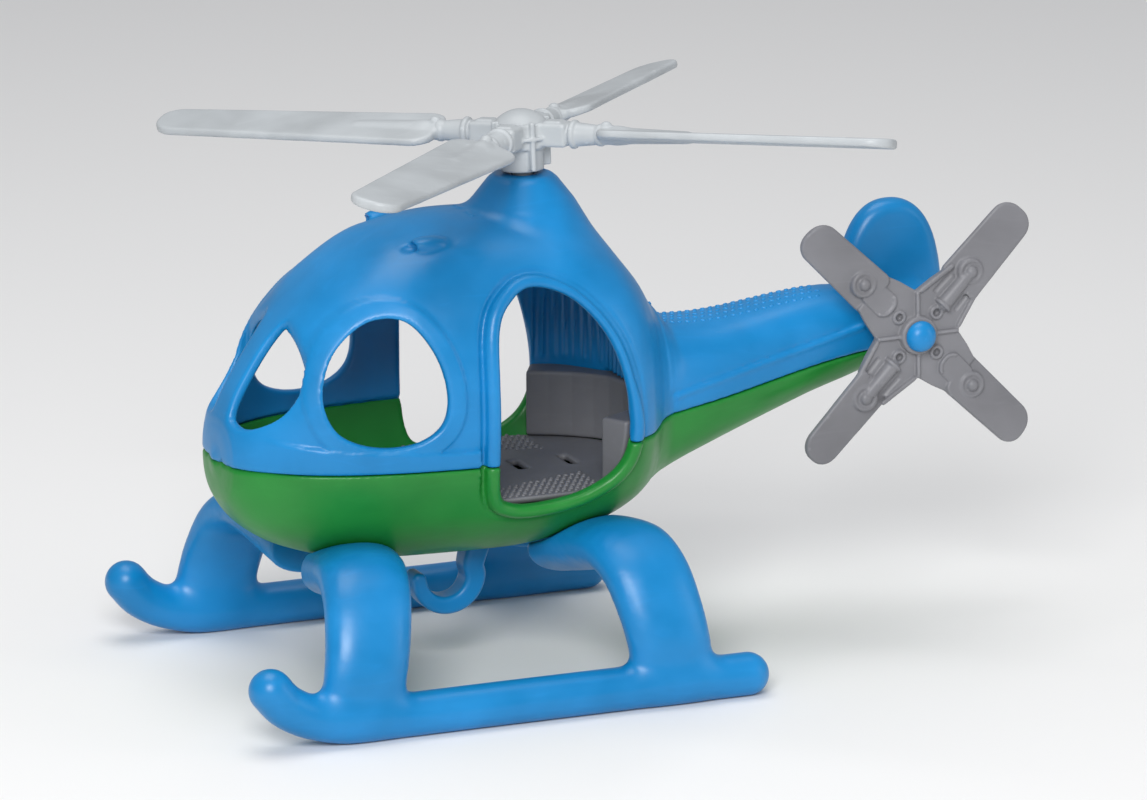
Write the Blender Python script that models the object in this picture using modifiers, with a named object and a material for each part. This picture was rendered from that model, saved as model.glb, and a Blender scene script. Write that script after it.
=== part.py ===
"""Toy helicopter: open cabin, skid landing gear, free-spinning main and tail rotors.

Nose towards -X, port side towards -Y, +Z up, skids resting on Z = 0.
The two hull shells come from one lofted hull, cut apart along the seam.
"""
import math

import bmesh
import bpy
from mathutils import Matrix, Vector

MM = 0.001
GAP = 0.3                      # millimetres between pieces that touch in the real toy

# Hull: (station x, value), all in millimetres.
HULL_TOP = [(-121, 74), (-119, 84), (-112, 98), (-101, 113), (-86, 127), (-68, 136.5), (-46, 139.5),
            (-22, 138), (-4, 131), (8, 119), (16, 107), (22, 100.5), (32, 100), (77, 104.5), (102, 104.5),
            (110, 101), (115, 95)]
HULL_BOTTOM = [(-121, 68), (-119, 59), (-112, 50), (-101, 44), (-86, 40), (-63, 38), (-36, 37.7), (-18, 39.5),
               (-4, 43.5), (8, 49), (18, 54.5), (28, 59), (86, 79.5), (102, 85), (110, 88), (115, 92)]
HULL_HALF = [(-121, 3), (-119, 13.5), (-112, 23), (-101, 31), (-86, 37), (-68, 40.5), (-46, 42.3), (-22, 42.6),
             (-8, 41.6), (0, 39.4), (5, 36), (9, 31), (13, 25.3), (18, 21.8), (34, 19.3), (76, 13), (98, 11), (108, 8),
             (115, 2)]
HULL_BELT = [(-121, 71), (-100, 80), (-60, 86), (0, 84), (20, 79), (86, 91), (115, 93.5)]
SEAM = [(-140, 70), (-100, 72), (-48, 71.7), (-5.4, 74.2), (3, 74.3), (14, 75.7), (32, 78.3), (75, 85.5),
        (130, 91)]
STATIONS = [-121, -119.5, -116.5, -112, -106, -99, -90, -80, -68, -55, -42, -30, -18, -8, 0, 5, 9, 13, 17, 21,
            27, 35, 50, 65, 80, 92, 102, 108, 112, 115]
ROUNDNESS = 2.45               # exponent of the hull's superelliptic sections
RING_POINTS = 32
WALL = 2.4

DOOR = [(-45.1, 110.7), (-39.3, 119.9), (-31.4, 122.4), (-20.2, 117.8), (-10.8, 106.5), (-5.5, 91.3), (-4.3, 76.2),
        (-8.3, 66.6), (-18.4, 60.6), (-30.5, 58.2), (-40.6, 58.8), (-45.2, 64.3), (-45.8, 86.4)]
SIDE_WINDOW = [(-62, 94.6), (-65.2, 106.7), (-72.6, 116), (-83, 115.8), (-93.1, 107.3), (-97.4, 95.2), (-94.1, 84.9),
               (-84.3, 80.2), (-72, 80.5), (-63.9, 85.5)]
WINDSHIELD = [(6, 88), (6, 108), (10.5, 113), (21, 109), (26, 99.5), (24.5, 89.5), (17, 84), (9.5, 84)]
WINDSHIELD_BACK = -100
REAR_WALL_X = 15.7
FLOOR_TOP = 59.5
FLOOR_SLOTS = ((-25, -22), (-8.7, -6))   # front and back of each slot across the floor
SLOT_SIDES = (-4.2, 6.5)
BULKHEAD_TOP = 80
# Inner face of the bulkhead, from its port end round the back to the starboard end, as (x, y).
BULKHEAD_FACE = [(-9.2, -30), (-3, -27), (3, -23), (8, -18.3), (11.3, -13.8), (13, -7), (13.3, 0), (13, 7),
                 (11.3, 13.8), (8, 18.3), (3, 23), (-3, 27), (-9.2, 30)]
RIM_WIDTH = 4.2
RIM_HEIGHT = 1.3

# Pylon under the main rotor: radius at each height above the ground.
PYLON_X = -22
PYLON_TOP = 149
PYLON_PROFILE = [(0, 149), (8.6, 149), (10.4, 147.6), (15.5, 141), (20, 133.5), (25, 125), (31, 113),
                 (36, 101), (38, 92), (0, 92)]
PYLON_INNER = [(0, 146.4), (7.6, 146.4), (12.6, 140.5), (17.4, 132.8), (22.4, 124.2), (28.2, 112.4),
               (31, 104), (0, 104)]

FIN_CENTRE = (97, 101)
FIN_HALF = (16.6, 29.3)
FIN_THICKNESS = 9

# Landing gear.
SKID_Y = 63
SKID_RADIUS = 6.5
SKID_Z = 6.2                   # under the radius, which leaves a narrow flat sole on the ground
SKID_PATH = [(-126.5, 18.2), (-122, 13.2), (-115, 9.3), (-106, 7), (-96, SKID_Z), (-60, SKID_Z), (-20, SKID_Z),
             (24, SKID_Z)]
# A leg's centre line as (y, z), from the belly to the skid; its section is an ellipse.
LEG_ROUTE = [(14, 38), (25, 40.5), (34, 42.5), (44, 43), (53, 38.5), (59, 30), (62.5, 20), (63, 8)]
FRONT_LEG_X = (-84, -99)
REAR_LEG_X = (-12, 0)
LEG_HALF_WIDTH = (14.5, 12.5)
LEG_HALF_DEPTH = (8.5, 5.8)
HOOK_RADIUS = 9
HOOK_X = -48
HOOK_Z = 28.4

# Main rotor, in its own frame: origin on top of the pylon, Z along its axis.
ROTOR_LEAN_FORWARD = math.radians(0.8)   # play on the post: the rotor rests leaning a little
ROTOR_LEAN_STARBOARD = math.radians(3.2)
ROTOR_AZIMUTH = math.radians(-43.5)
ARM_Z = 12.0
BLADE_TIP = 117.0
BLADE_ROOT = 26.0
BLADE_CHORD = (21.0, 15.5)
BLADE_THICKNESS = 2.2
BLADE_PITCH = math.radians(-13)

# Tail rotor, in its own frame: Z along its axis, out to port.
TAIL_X = 96.6
TAIL_Y = -21.5
TAIL_Z = 93.0
TAIL_AZIMUTH = math.radians(46)
TAIL_TIP = 49.5
TAIL_BLADE_ROOT = 19.5
TAIL_BLADE_WIDTH = 14.2
TAIL_PITCH = math.radians(-12)
RIVET_RADIUS_OUT = 24.9

BLUE = (0.006, 0.165, 0.52)
GREEN = (0.022, 0.27, 0.03)
LIGHT_GREY = (0.42, 0.45, 0.48)
MID_GREY = (0.2, 0.21, 0.23)
FLOOR_GREY = (0.15, 0.155, 0.165)


# ---------------------------------------------------------------- scene and mesh helpers

def clear_scene():
    for obj in list(bpy.data.objects):
        bpy.data.objects.remove(obj, do_unlink=True)


def new_collection(name):
    collection = bpy.data.collections.new(name)
    bpy.context.scene.collection.children.link(collection)
    return collection


def make_material(name, colour, roughness):
    material = bpy.data.materials.new(name)
    material.use_nodes = True
    shader = material.node_tree.nodes["Principled BSDF"]
    shader.inputs["Base Color"].default_value = (*colour, 1)
    shader.inputs["Roughness"].default_value = roughness
    material.diffuse_color = (*colour, 1)
    return material


def smooth_curve(points):
    """Monotone cubic interpolation through (x, value) points."""
    xs = [p[0] for p in points]
    ys = [p[1] for p in points]
    steps = [(ys[i + 1] - ys[i]) / (xs[i + 1] - xs[i]) for i in range(len(xs) - 1)]
    slopes = [steps[0]]
    for before, after in zip(steps, steps[1:]):
        slopes.append(0 if before * after <= 0 else 2 * before * after / (before + after))
    slopes.append(steps[-1])

    def value(x):
        x = min(max(x, xs[0]), xs[-1])
        i = next(k for k in range(len(xs) - 1) if x <= xs[k + 1])
        h = xs[i + 1] - xs[i]
        t = (x - xs[i]) / h
        return (ys[i] * (1 + 2 * t) * (1 - t) ** 2 + slopes[i] * h * t * (1 - t) ** 2
                + ys[i + 1] * t * t * (3 - 2 * t) + slopes[i + 1] * h * t * t * (t - 1))

    return value


def closed_spline(points, per_side=3):
    """Catmull-Rom loop through 2D points."""
    count = len(points)
    loop = []
    for i in range(count):
        a, b, c, d = (Vector(points[(i + k) % count]) for k in (-1, 0, 1, 2))
        for step in range(per_side):
            t = step / per_side
            loop.append(0.5 * ((2 * b) + (c - a) * t + (2 * a - 5 * b + 4 * c - d) * t * t
                               + (3 * b - a - 3 * c + d) * t ** 3))
    return [(p.x, p.y) for p in loop]


def offset_loop(loop, distance):
    """The loop moved outwards by a distance, whichever way round it runs."""
    count = len(loop)
    area = sum(loop[i][0] * loop[(i + 1) % count][1] - loop[(i + 1) % count][0] * loop[i][1] for i in range(count))
    side = math.copysign(distance, area)
    moved = []
    for i, (x, y) in enumerate(loop):
        ahead, behind = loop[(i + 1) % count], loop[i - 1]
        along = Vector((ahead[0] - behind[0], ahead[1] - behind[1])).normalized()
        moved.append((x + along.y * side, y - along.x * side))
    return moved


def object_from_mesh(name, mesh, matrix=None):
    obj = bpy.data.objects.new(name, mesh)
    bpy.context.scene.collection.objects.link(obj)
    if matrix:
        mesh.transform(matrix)
    return obj


def from_bmesh(name, bm, matrix=None):
    bmesh.ops.recalc_face_normals(bm, faces=bm.faces)
    mesh = bpy.data.meshes.new(name)
    bm.to_mesh(mesh)
    bm.free()
    return object_from_mesh(name, mesh, matrix)


def loft(name, rings):
    """A closed body through rings of equally many points (metres)."""
    bm = bmesh.new()
    grid = [[bm.verts.new(p) for p in ring] for ring in rings]
    count = len(rings[0])
    for low, high in zip(grid, grid[1:]):
        for i in range(count):
            j = (i + 1) % count
            bm.faces.new((low[i], low[j], high[j], high[i]))
    bm.faces.new(grid[0])
    bm.faces.new(grid[-1])
    return from_bmesh(name, bm)


def plate(name, loop, low, high, matrix=None):
    """A flat outline in XY (millimetres) from height low to high, as a closed mesh."""
    curve = bpy.data.curves.new(name, "CURVE")
    curve.dimensions = "2D"
    curve.fill_mode = "BOTH"
    curve.extrude = (high - low) / 2 * MM
    spline = curve.splines.new("POLY")
    spline.points.add(len(loop) - 1)
    for point, (x, y) in zip(spline.points, loop):
        point.co = (x * MM, y * MM, 0, 1)
    spline.use_cyclic_u = True
    curve_object = bpy.data.objects.new(name, curve)
    bpy.context.scene.collection.objects.link(curve_object)
    bpy.context.view_layer.update()
    evaluated = curve_object.evaluated_get(bpy.context.evaluated_depsgraph_get())
    mesh = bpy.data.meshes.new_from_object(evaluated)
    bpy.data.objects.remove(curve_object, do_unlink=True)
    bm = bmesh.new()
    bm.from_mesh(mesh)
    bmesh.ops.remove_doubles(bm, verts=bm.verts, dist=1e-6)
    bmesh.ops.translate(bm, verts=bm.verts, vec=(0, 0, (low + high) / 2 * MM))
    return from_bmesh(name, bm, matrix)


def turned(name, profile, segments=32, matrix=None):
    """A body turned about Z from (radius, height) points, running down the outside from the top axis."""
    mesh = bpy.data.meshes.new(name)
    points = [(r * MM, 0, z * MM) for r, z in profile]
    mesh.from_pydata(points, [(i, i + 1) for i in range(len(points) - 1)], [])
    obj = object_from_mesh(name, mesh)
    screw = obj.modifiers.new("turn", "SCREW")
    screw.steps = screw.render_steps = segments
    screw.use_merge_vertices = True
    screw.merge_threshold = 1e-6
    flatten(obj)
    bm = bmesh.new()
    bm.from_mesh(obj.data)
    bmesh.ops.remove_doubles(bm, verts=bm.verts, dist=1e-6)
    bmesh.ops.recalc_face_normals(bm, faces=bm.faces)
    bm.to_mesh(obj.data)
    bm.free()
    if matrix:
        obj.data.transform(matrix)
    return obj


def cylinder(name, radius, low, high, segments=24, matrix=None, end_radius=None):
    bm = bmesh.new()
    bmesh.ops.create_cone(bm, cap_ends=True, segments=segments, radius1=radius * MM,
                          radius2=(radius if end_radius is None else end_radius) * MM, depth=(high - low) * MM)
    bmesh.ops.translate(bm, verts=bm.verts, vec=(0, 0, (low + high) / 2 * MM))
    return from_bmesh(name, bm, matrix)


def block(name, low, high, matrix=None):
    bm = bmesh.new()
    bmesh.ops.create_cube(bm, size=1)
    size = [(b - a) * MM for a, b in zip(low, high)]
    centre = [(a + b) / 2 * MM for a, b in zip(low, high)]
    bmesh.ops.scale(bm, verts=bm.verts, vec=size)
    bmesh.ops.translate(bm, verts=bm.verts, vec=centre)
    return from_bmesh(name, bm, matrix)


def flatten(obj):
    """Replace an object's mesh by what its modifiers make of it."""
    bpy.context.view_layer.update()
    evaluated = obj.evaluated_get(bpy.context.evaluated_depsgraph_get())
    mesh = bpy.data.meshes.new_from_object(evaluated)
    obj.modifiers.clear()
    obj.data = mesh


def combine(obj, tools, operation):
    """Apply a Boolean with each tool in turn, then discard the tools."""
    for tool in tools:
        modifier = obj.modifiers.new(operation.lower(), "BOOLEAN")
        modifier.operation = operation
        modifier.object = tool
        flatten(obj)
        bpy.data.objects.remove(tool, do_unlink=True)
    return obj


def join(obj, *tools):
    return combine(obj, tools, "UNION")


def cut(obj, *tools):
    return combine(obj, tools, "DIFFERENCE")


def keep_inside(obj, tool):
    return combine(obj, [tool], "INTERSECT")


def finish(obj, name, material, collection, origin=None):
    """Name a part, give it its material and put its origin where it belongs."""
    for owner in list(obj.users_collection):
        owner.objects.unlink(obj)
    collection.objects.link(obj)
    obj.name = obj.data.name = name
    obj.data.materials.clear()
    obj.data.materials.append(material)
    obj.data.shade_smooth()
    obj.data.set_sharp_from_angle(angle=math.radians(35))
    if origin:
        obj.data.transform(Matrix.Translation(-Vector(origin)))
        obj.location = origin
    return obj


def hang(children, empty):
    """Parent parts to the empty on their joint's axis without moving them."""
    bpy.context.view_layer.update()
    for child in children:
        child.parent = empty
        child.matrix_parent_inverse = empty.matrix_world.inverted()


# ---------------------------------------------------------------- hull

TOP, BOTTOM = smooth_curve(HULL_TOP), smooth_curve(HULL_BOTTOM)
HALF, BELT, SEAM_Z = smooth_curve(HULL_HALF), smooth_curve(HULL_BELT), smooth_curve(SEAM)


def power(value, exponent):
    return math.copysign(abs(value) ** exponent, value)


def hull(name, inset=0.0):
    """The closed hull, with its whole surface moved in by the inset (out where it is negative)."""
    first, last = STATIONS[0] + inset, STATIONS[-1] - inset
    scale = (last - first) / (STATIONS[-1] - STATIONS[0])
    rings = []
    for station in STATIONS:
        x = first + (station - STATIONS[0]) * scale
        belt = BELT(station)
        rise = max(TOP(station) - inset - belt, 0.8)
        fall = max(belt - BOTTOM(station) - inset, 0.8)
        half = max(HALF(station) - inset, 0.8)
        ring = []
        for k in range(RING_POINTS):
            angle = 2 * math.pi * k / RING_POINTS
            y = half * power(math.cos(angle), 2 / ROUNDNESS)
            z = power(math.sin(angle), 2 / ROUNDNESS)
            ring.append((x * MM, y * MM, (belt + z * (rise if z > 0 else fall)) * MM))
        rings.append(ring)
    return loft(name, rings)


SIDEWAYS = Matrix.Rotation(math.radians(90), 4, "X")       # XY outline stands up in XZ, height runs to -Y
FORWARDS = Matrix(((0, 0, 1, 0), (1, 0, 0, 0), (0, 1, 0, 0), (0, 0, 0, 1)))   # XY outline stands in YZ


def seam_side(name, above):
    """Everything above, or below, the seam between the two shells."""
    edge = [(x, SEAM_Z(x) + (GAP / 2 if above else -GAP / 2)) for x in range(-140, 131, 6)]
    far = 220 if above else -60
    return plate(name, edge + [(130, far), (-140, far)], -90, 90, SIDEWAYS)


def rims():
    """Raised lips round the doors and side windows, before they are opened."""
    lips = []
    for outline in (DOOR, SIDE_WINDOW):
        for sign in (-1, 1):
            lip = hull("lip", -RIM_HEIGHT)
            sides = (8, 70) if sign < 0 else (-70, -8)
            keep_inside(lip, plate("lip_outline", offset_loop(closed_spline(outline), RIM_WIDTH), *sides, SIDEWAYS))
            lips.append(lip)
    return lips


def openings():
    """Cutters for the doors, side windows and windshield."""
    cutters = []
    for sign in (-1, 1):
        pane = closed_spline([(sign * y, z) for y, z in WINDSHIELD])
        cutters.append(plate("windshield_cut", pane, -140, WINDSHIELD_BACK, FORWARDS))
    cutters.append(plate("door_cut", closed_spline(DOOR), -80, 80, SIDEWAYS))
    cutters.append(plate("window_cut", closed_spline(SIDE_WINDOW), -80, 80, SIDEWAYS))
    return cutters


def pylon_matrix():
    return Matrix.Translation((PYLON_X * MM, 0, 0))


def shell(above):
    body = hull("shell")
    join(body, *rims())
    if above:
        join(body, turned("pylon", PYLON_PROFILE, 40, pylon_matrix()), fin(), tail_boss())
    cut(body, hull("inside", WALL))
    if above:
        cut(body, turned("pylon_inside", PYLON_INNER, 40, pylon_matrix()))
        join(body, rear_wall())
        cut(body, cylinder("mast_hole", 3.4, 130, 160, 24, pylon_matrix()),
            cylinder("pin_hole", 2.4, -15, 0, 24, tail_frame()))
    cut(body, *openings())
    return keep_inside(body, seam_side("side", above))


def fin():
    loop = []
    for k in range(36):
        angle = 2 * math.pi * k / 36
        loop.append((FIN_CENTRE[0] + FIN_HALF[0] * power(math.cos(angle), 0.84),
                     FIN_CENTRE[1] + FIN_HALF[1] * power(math.sin(angle), 0.84)))
    body = plate("fin", loop, -FIN_THICKNESS / 2, FIN_THICKNESS / 2, SIDEWAYS)
    bevel = body.modifiers.new("round", "BEVEL")
    bevel.width = 3.6 * MM
    bevel.segments = 3
    bevel.limit_method = "ANGLE"
    bevel.angle_limit = math.radians(60)
    flatten(body)
    return cut(body, block("fin_foot", (60, -20, 60), (130, 20, 92)))


def tail_boss():
    return cylinder("tail_boss", 5.5, -14, -4.4, 24, tail_frame())


def rear_wall():
    """The cabin's rear wall above the grey bulkhead, part of the upper shell."""
    wall = hull("rear_wall", 1.2)
    return keep_inside(wall, block("rear_slab", (REAR_WALL_X - 2, -60, BULKHEAD_TOP + GAP), (REAR_WALL_X, 60, 150)))


def cabin_floor():
    floor = hull("floor", WALL + 0.4)
    keep_inside(floor, block("floor_slab", (-104, -60, FLOOR_TOP - 2.2), (REAR_WALL_X, 60, FLOOR_TOP)))
    for front, back in FLOOR_SLOTS:
        cut(floor, block("slot", (front, SLOT_SIDES[0], 50), (back, SLOT_SIDES[1], 65)))
    return floor


def cabin_bulkhead():
    """C-shaped wall round the back of the cabin, as thick as the room up to the hull."""
    end_x, beyond = -1.5, 44
    outline = BULKHEAD_FACE + [(end_x, beyond), (REAR_WALL_X, beyond), (REAR_WALL_X, -beyond), (end_x, -beyond)]
    return keep_inside(plate("bulkhead", outline, FLOOR_TOP + GAP, BULKHEAD_TOP), hull("cabin", WALL + 0.4))


# ---------------------------------------------------------------- landing gear

def tube_rings(path, radius, sides, side_y):
    """Rings square to a path in the XZ plane at the given y."""
    rings = []
    for i, (x, z) in enumerate(path):
        before, after = path[max(i - 1, 0)], path[min(i + 1, len(path) - 1)]
        along = Vector((after[0] - before[0], 0, after[1] - before[1])).normalized()
        across = along.cross(Vector((0, 1, 0)))
        centre = Vector((x, side_y, z))
        rings.append([(centre + Vector((0, 1, 0)) * radius[i] * math.cos(a) + across * radius[i] * math.sin(a)) * MM
                      for a in (2 * math.pi * k / sides for k in range(sides))])
    return rings


def skid(sign, extra=0.0):
    """One skid tube, round-ended, with its front curled up; extra makes it fatter."""
    first, last = Vector(SKID_PATH[0]), Vector(SKID_PATH[-1])
    lead = (first - Vector(SKID_PATH[1])).normalized()
    path, radius = [], []
    for angle in (80, 55, 28):
        path.append(tuple(first + lead * SKID_RADIUS * math.sin(math.radians(angle))))
        radius.append(SKID_RADIUS * math.cos(math.radians(angle)) + extra)
    path += SKID_PATH
    radius += [SKID_RADIUS + extra] * len(SKID_PATH)
    for angle in (28, 55, 80):
        path.append((last.x + SKID_RADIUS * math.sin(math.radians(angle)), last.y))
        radius.append(SKID_RADIUS * math.cos(math.radians(angle)) + extra)
    tube = loft("skid", tube_rings(path, radius, 20, sign * SKID_Y))
    return cut(tube, block("ground", (-150, -100, -20), (60, 100, 0)))


def leg(sign, root_x, foot_x):
    """One arched leg from the belly out and down to its skid."""
    rings = []
    last = len(LEG_ROUTE) - 1
    for i, (y, z) in enumerate(LEG_ROUTE):
        before, after = LEG_ROUTE[max(i - 1, 0)], LEG_ROUTE[min(i + 1, last)]
        along = Vector((0, sign * (after[0] - before[0]), after[1] - before[1])).normalized()
        across = along.cross(Vector((1, 0, 0)))
        share = i / last
        centre = Vector((root_x + (foot_x - root_x) * share, sign * y, z))
        half_width = LEG_HALF_WIDTH[0] + (LEG_HALF_WIDTH[1] - LEG_HALF_WIDTH[0]) * share
        half_depth = LEG_HALF_DEPTH[0] + (LEG_HALF_DEPTH[1] - LEG_HALF_DEPTH[0]) * share
        rings.append([(centre + Vector((half_width * math.cos(a), 0, 0)) + across * half_depth * math.sin(a)) * MM
                      for a in (2 * math.pi * k / 20 for k in range(20))])
    body = loft("leg", rings)
    return cut(body, hull("belly", -GAP), skid(sign, GAP))


def cargo_hook():
    """J-shaped hook: a shank down from the belly, then three quarters of a ring opening forwards."""
    route = [(HOOK_X + HOOK_RADIUS + 4, 46), (HOOK_X + HOOK_RADIUS + 1.5, 38)]
    for step in range(10):
        angle = math.radians(20 - 22 * step)
        route.append((HOOK_X + HOOK_RADIUS * math.cos(angle), HOOK_Z + HOOK_RADIUS * math.sin(angle)))
    rings = []
    for i, (x, z) in enumerate(route):
        before, after = route[max(i - 1, 0)], route[min(i + 1, len(route) - 1)]
        along = Vector((after[0] - before[0], 0, after[1] - before[1])).normalized()
        across = along.cross(Vector((0, 1, 0)))
        half = 3.6 - 1.4 * i / len(route)
        rings.append([(Vector((x, 0, z)) + Vector((0, 4.2 * math.cos(a), 0)) + across * half * math.sin(a)) * MM
                      for a in (2 * math.pi * (k + 0.5) / 12 for k in range(12))])
    return cut(loft("hook", rings), hull("belly", -GAP))


# ---------------------------------------------------------------- main rotor

def rotor_frame():
    """Origin on top of the pylon, Z along the rotor's own leaning axis."""
    axis = Vector((-math.tan(ROTOR_LEAN_FORWARD), math.tan(ROTOR_LEAN_STARBOARD), 1)).normalized()
    turn = Vector((0, 0, 1)).rotation_difference(axis).to_matrix().to_4x4()
    return Matrix.Translation((PYLON_X * MM, 0, PYLON_TOP * MM)) @ turn


def arm_frame(index):
    """Z runs out along rotor arm number index, Y is up."""
    spin = Matrix.Rotation(ROTOR_AZIMUTH + index * math.pi / 2, 4, "Z")
    out = Matrix(((0, 0, 1, 0), (1, 0, 0, 0), (0, 1, 0, ARM_Z * MM), (0, 0, 0, 1)))
    return rotor_frame() @ spin @ out


def rotor_mast():
    profile = [(0, 163), (3.4, 163), (4.3, 161.6), (4.3, 160.4), (3, 159.4), (3, 146.1), (6, 146.1), (6, 143.6),
               (0, 143.6)]
    return turned("mast", profile, 28, pylon_matrix())


def rotor_hub():
    profile = [(5.6, 15.6), (8, 15.6), (8, 8.2), (6.5, 7.2), (6.5, 0.9), (3.9, 0.9), (3.9, 10.2), (5.6, 10.2),
               (5.6, 15.6)]
    body = turned("hub", profile, 32, rotor_frame())
    for index in range(4):
        frame = arm_frame(index)
        join(body, block("arm", (-3.8, -3.6, 6.6), (3.8, 3.5, 15.4), frame),
             cylinder("ring", 4.2, 15, 17.8, 24, frame),
             cylinder("grip", 3.6, 17.4, 24, 20, frame, 2.7))
    return body


def rotor_cap():
    profile = [(0, 19.2), (2.6, 18.9), (5, 18), (6.9, 16.8), (7.7, 15.9), (5.2, 15.9), (5.2, 14.4), (0, 14.4)]
    return turned("cap", profile, 32, rotor_frame())


def paddle(root, tip, root_width, tip_width, tip_radius):
    """Flat blade outline along +Y with round corners, wider at the root."""
    loop = []
    for angle in (0, 30, 60, 90):
        a = math.radians(angle)
        loop.append((tip_width / 2 - tip_radius * (1 - math.cos(a)), tip - tip_radius * (1 - math.sin(a))))
    loop += [(-x, y) for x, y in reversed(loop)]
    corner = 3.5
    for angle in (0, 45, 90):
        a = math.radians(angle)
        loop.append((-root_width / 2 + corner * (1 - math.cos(a)), root + corner * (1 - math.sin(a))))
    loop += [(-x, y) for x, y in reversed(loop[-3:])]
    return loop


def soften(obj, width, segments=2):
    bevel = obj.modifiers.new("soft_edges", "BEVEL")
    bevel.width = width * MM
    bevel.segments = segments
    bevel.limit_method = "ANGLE"
    bevel.angle_limit = math.radians(50)
    flatten(obj)
    return obj


def rotor_blade(index):
    frame = arm_frame(index)
    flat = Matrix(((1, 0, 0, 0), (0, 0, 1, 0), (0, 1, 0, 0), (0, 0, 0, 1)))   # outline's Y runs along the arm
    slab = plate("blade", paddle(BLADE_ROOT, BLADE_TIP, *BLADE_CHORD, 6.5), -BLADE_THICKNESS / 2,
                 BLADE_THICKNESS / 2, frame @ Matrix.Rotation(BLADE_PITCH, 4, "Z") @ flat)
    soften(slab, 0.8)
    return join(slab, cylinder("socket", 3.1, 24.3, 31, 20, frame, 2.2))


# ---------------------------------------------------------------- tail rotor

def tail_frame():
    """Origin at the tail rotor's centre, Z along its axis to port, X aft."""
    place = Matrix.Translation((TAIL_X * MM, TAIL_Y * MM, TAIL_Z * MM))
    return place @ Matrix.Rotation(math.radians(90), 4, "X")


def tail_arm_frame(index):
    """Z to port along the axis, Y out along tail rotor arm number index."""
    return tail_frame() @ Matrix.Rotation(TAIL_AZIMUTH + (index - 1) * math.pi / 2, 4, "Z")


def tail_pin():
    """Blue pin: domed head outside the rotor, shaft through it, snap head inside the boom."""
    profile = [(0, 7.2), (2.2, 6.9), (3.8, 5.9), (4.7, 4.4), (4.7, 3.6), (2.1, 3.6), (2.1, -14.2), (3.2, -14.7),
               (2.2, -16.2), (0, -16.2)]
    return turned("pin", profile, 28, tail_frame())


def tail_hub():
    profile = [(0, 3.2), (4.9, 3.2), (6.3, 2.8), (6.3, -3.5), (4.2, -3.8), (0, -3.8)]
    body = turned("tail_hub", profile, 28, tail_frame())
    arm_edge = [(-9.5, 9.5), (-8.2, 15.5), (-6.2, 19.2), (6.2, 19.2), (8.2, 15.5)]
    star = []
    for quarter in range(4):
        turn = Matrix.Rotation(-quarter * math.pi / 2, 2)
        star += [tuple(turn @ Vector(point)) for point in arm_edge]
    join(body, plate("web", star, -1.1, 0.9, tail_arm_frame(0)))
    for index in range(4):
        between = tail_arm_frame(index) @ Matrix.Rotation(math.radians(45), 4, "Z")
        join(body, block("rib", (-0.5, 5.5, -0.8), (0.5, 12.2, 2.1), between))
    return cut(body, cylinder("bore", 2.5, -6, 6, 28, tail_frame()))


def tail_blade(index):
    frame = tail_arm_frame(index)
    slab = plate("tail_blade", paddle(TAIL_BLADE_ROOT, TAIL_TIP, TAIL_BLADE_WIDTH, TAIL_BLADE_WIDTH - 1.4, 5.6),
                 -1, 1, frame @ Matrix.Rotation(TAIL_PITCH, 4, "Y"))
    soften(slab, 0.6, 1)
    place = frame @ Matrix.Translation((0, RIVET_RADIUS_OUT * MM, 0))
    return join(slab, cylinder("boss", 4.4, -0.6, 2.4, 20, place), cylinder("rivet", 1.9, 2, 3.5, 14, place, 1.3))


# ---------------------------------------------------------------- assembly

def joint_empty(name, matrix, collection):
    empty = bpy.data.objects.new(name, None)
    empty.matrix_world = matrix
    empty.empty_display_size = 0.02
    collection.objects.link(empty)
    return empty


def build():
    clear_scene()
    parts = new_collection("toy_helicopter")
    blue = make_material("blue_plastic", BLUE, 0.35)
    green = make_material("green_plastic", GREEN, 0.35)
    light = make_material("light_grey_plastic", LIGHT_GREY, 0.45)
    mid = make_material("mid_grey_plastic", MID_GREY, 0.45)
    inner = make_material("floor_grey_plastic", FLOOR_GREY, 0.5)

    finish(shell(above=True), "upper_shell", blue, parts)
    finish(shell(above=False), "lower_shell", green, parts)
    finish(cabin_floor(), "cabin_floor", inner, parts)
    finish(cabin_bulkhead(), "cabin_bulkhead", inner, parts)

    for side, sign in (("port", -1), ("starboard", 1)):
        finish(skid(sign), f"skid_{side}", blue, parts)
        finish(leg(sign, *FRONT_LEG_X), f"front_leg_{side}", blue, parts)
        finish(leg(sign, *REAR_LEG_X), f"rear_leg_{side}", blue, parts)
    finish(cargo_hook(), "cargo_hook", blue, parts)
    finish(rotor_mast(), "rotor_mast", light, parts)

    frame = rotor_frame()
    spinning = [finish(rotor_hub(), "main_rotor_hub", light, parts, frame.translation),
                finish(rotor_cap(), "main_rotor_cap", light, parts, frame.translation)]
    for index in range(4):
        spinning.append(finish(rotor_blade(index), f"main_rotor_blade_{index + 1}", light, parts,
                               frame.translation))
    hang(spinning, joint_empty("main_rotor_axis", frame, parts))

    frame = tail_frame()
    finish(tail_pin(), "tail_rotor_pin", blue, parts)
    spinning = [finish(tail_hub(), "tail_rotor_hub", mid, parts, frame.translation)]
    for index in range(4):
        spinning.append(finish(tail_blade(index), f"tail_rotor_blade_{index + 1}", mid, parts,
                               frame.translation))
    hang(spinning, joint_empty("tail_rotor_axis", frame, parts))


build()
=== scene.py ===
"""Looks of the toy helicopter, built round the frame: shells, landing gear, rotors and cabin.

Every moulded piece is described by a distance field in millimetres, negative inside, and
turned into a mesh by surface nets. Fields are joined and cut with a soft minimum and maximum,
which give the pieces their moulded fillets.
"""

import math

import bpy
import numpy as np
from mathutils import Matrix, Vector


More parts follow.
